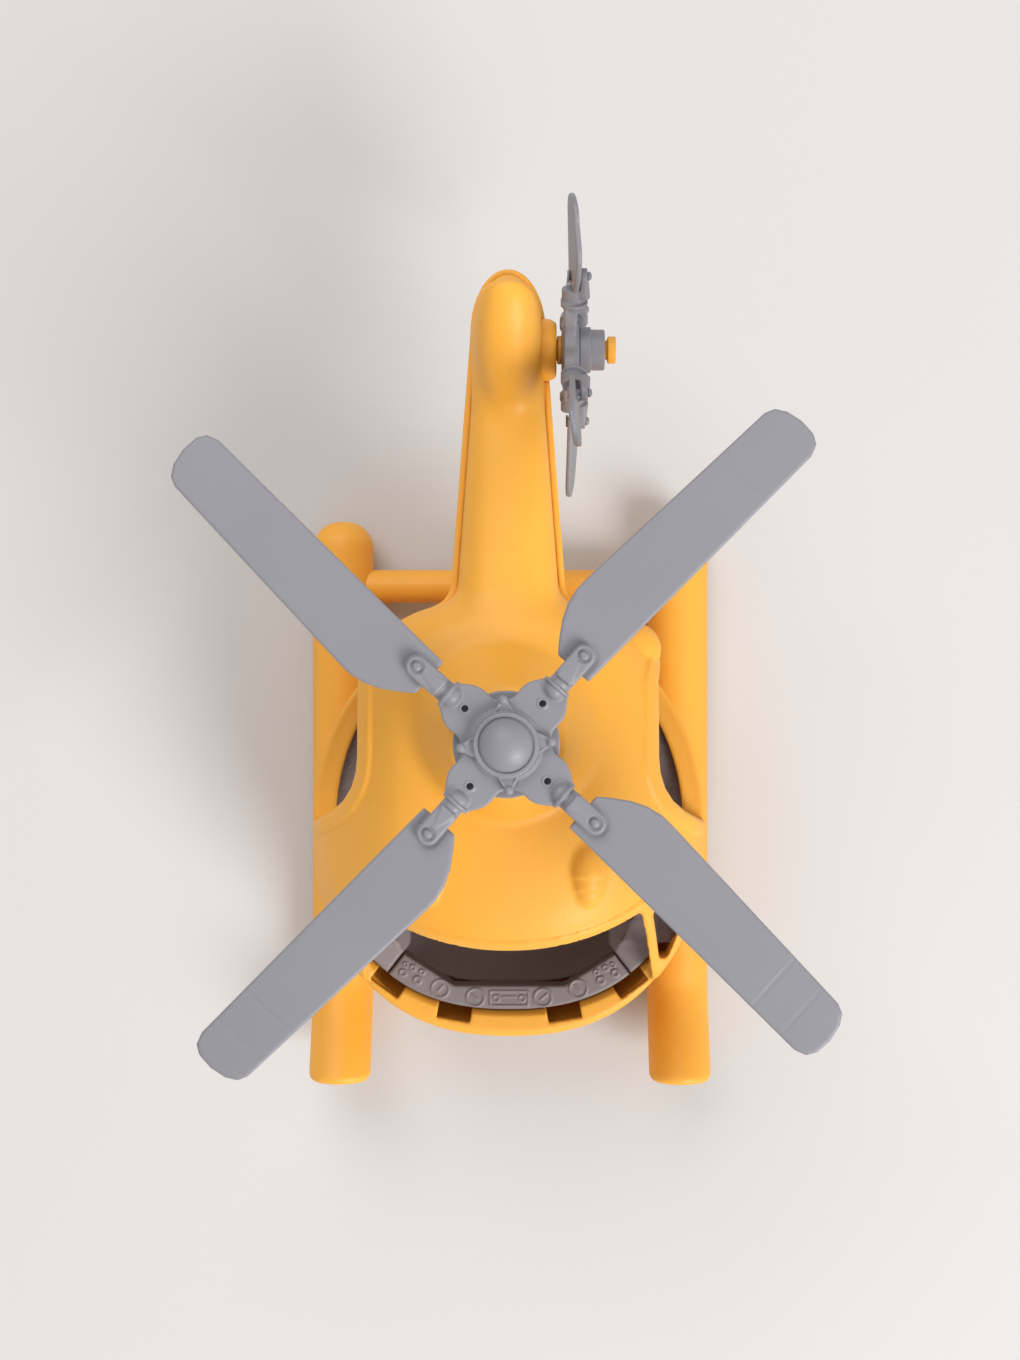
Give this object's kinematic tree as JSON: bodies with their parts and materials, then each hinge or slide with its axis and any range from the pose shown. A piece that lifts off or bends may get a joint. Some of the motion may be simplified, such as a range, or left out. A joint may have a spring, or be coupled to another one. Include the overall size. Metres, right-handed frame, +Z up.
{
  "type": "toy helicopter",
  "caption": "Chunky moulded toy helicopter on two float tubes, with an open cabin and a free-spinning main rotor and tail rotor.",
  "frame": {"origin": "on the ground under the middle of the bounding box", "axes": "+Z up, +Y towards the tail, so the nose points to -Y, and +X towards the side that carries the tail rotor"},
  "size_m": [0.1946, 0.2851, 0.1618],
  "materials": {
    "yellow_plastic": "satin moulded plastic with a very fine spark texture",
    "grey_plastic": "satin moulded plastic",
    "dark_plastic": "satin moulded plastic, textured ledges"
  },
  "bodies": {
    "airframe": {"upper_shell": "yellow_plastic", "lower_hull": "yellow_plastic", "cockpit_tub": "dark_plastic", "dashboard": "dark_plastic", "left_float": "yellow_plastic", "right_float": "yellow_plastic", "front_cross_tube": "yellow_plastic", "rear_cross_tube": "yellow_plastic", "front_saddle": "yellow_plastic", "rear_pylon": "yellow_plastic", "mast_bush": "grey_plastic", "tail_axle_housing": "yellow_plastic", "tail_axle_pin": "yellow_plastic"},
    "main_rotor": {"mast": "grey_plastic", "mast_collar": "grey_plastic", "swash_disc": "grey_plastic", "main_hub": "grey_plastic", "horn_ring": "grey_plastic", "hub_cap": "grey_plastic", "main_blade_1": "grey_plastic", "main_blade_2": "grey_plastic", "main_blade_3": "grey_plastic", "main_blade_4": "grey_plastic", "main_rivets": "grey_plastic"},
    "tail_rotor": {"tail_hub": "grey_plastic", "tail_cap": "grey_plastic", "tail_blade_1": "grey_plastic", "tail_blade_2": "grey_plastic", "tail_blade_3": "grey_plastic", "tail_blade_4": "grey_plastic", "tail_rivets": "grey_plastic"}
  },
  "joints": [
    {"name": "main_rotor_spin", "type": "hinge", "parent": "airframe", "child": "main_rotor", "pos_m": [0, -0.0238, 0.14], "axis": [0, 0, 1], "continuous": true},
    {"name": "tail_rotor_spin", "type": "hinge", "parent": "airframe", "child": "tail_rotor", "pos_m": [0.0173, 0.0988, 0.092], "axis": [1, 0, 0], "continuous": true}
  ]
}
